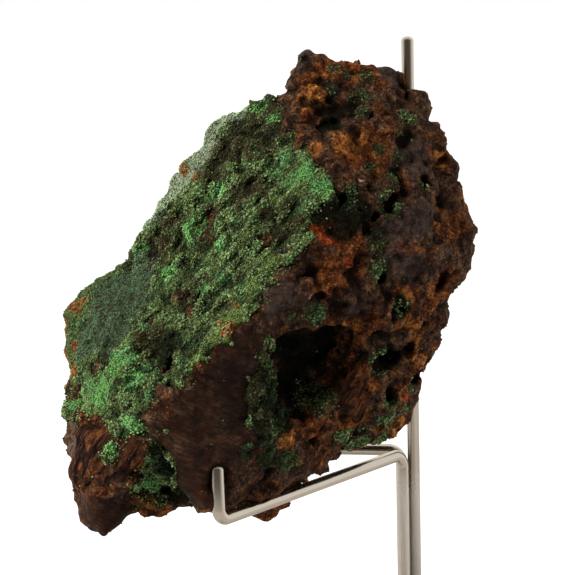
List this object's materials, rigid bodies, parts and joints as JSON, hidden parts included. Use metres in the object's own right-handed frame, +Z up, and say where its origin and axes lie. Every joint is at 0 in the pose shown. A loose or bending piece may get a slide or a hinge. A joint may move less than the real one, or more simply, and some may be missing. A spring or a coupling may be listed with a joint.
{
  "type": "conichalcite on limonite specimen on a stand",
  "caption": "Rough brown limonite block with a granular green conichalcite crust, resting on a bent steel rod stand with a round base.",
  "frame": {"origin": "centre of the underside of the round base, on the surface that the stand rests on", "axes": "+Z up along the post; -Y towards the stone's green face; +X towards the stone's right end, where the post stands behind it"},
  "size_m": [0.11, 0.11, 0.1755],
  "materials": {
    "limonite": "rough broken limonite, brown with rust-orange and ochre patches, pitted",
    "conichalcite": "dull granular green crust of small rounded grains",
    "satin_steel": "satin stainless steel"
  },
  "bodies": {
    "root": {"limonite_matrix": "limonite", "conichalcite_face_crust": "conichalcite", "conichalcite_gap_crust": "conichalcite", "conichalcite_cavity_crust": "conichalcite", "conichalcite_edge_crust": "conichalcite", "stand_post": "satin_steel", "stand_front_arm": "satin_steel", "stand_back_arm": "satin_steel", "stand_base": "satin_steel"}
  },
  "joints": []
}
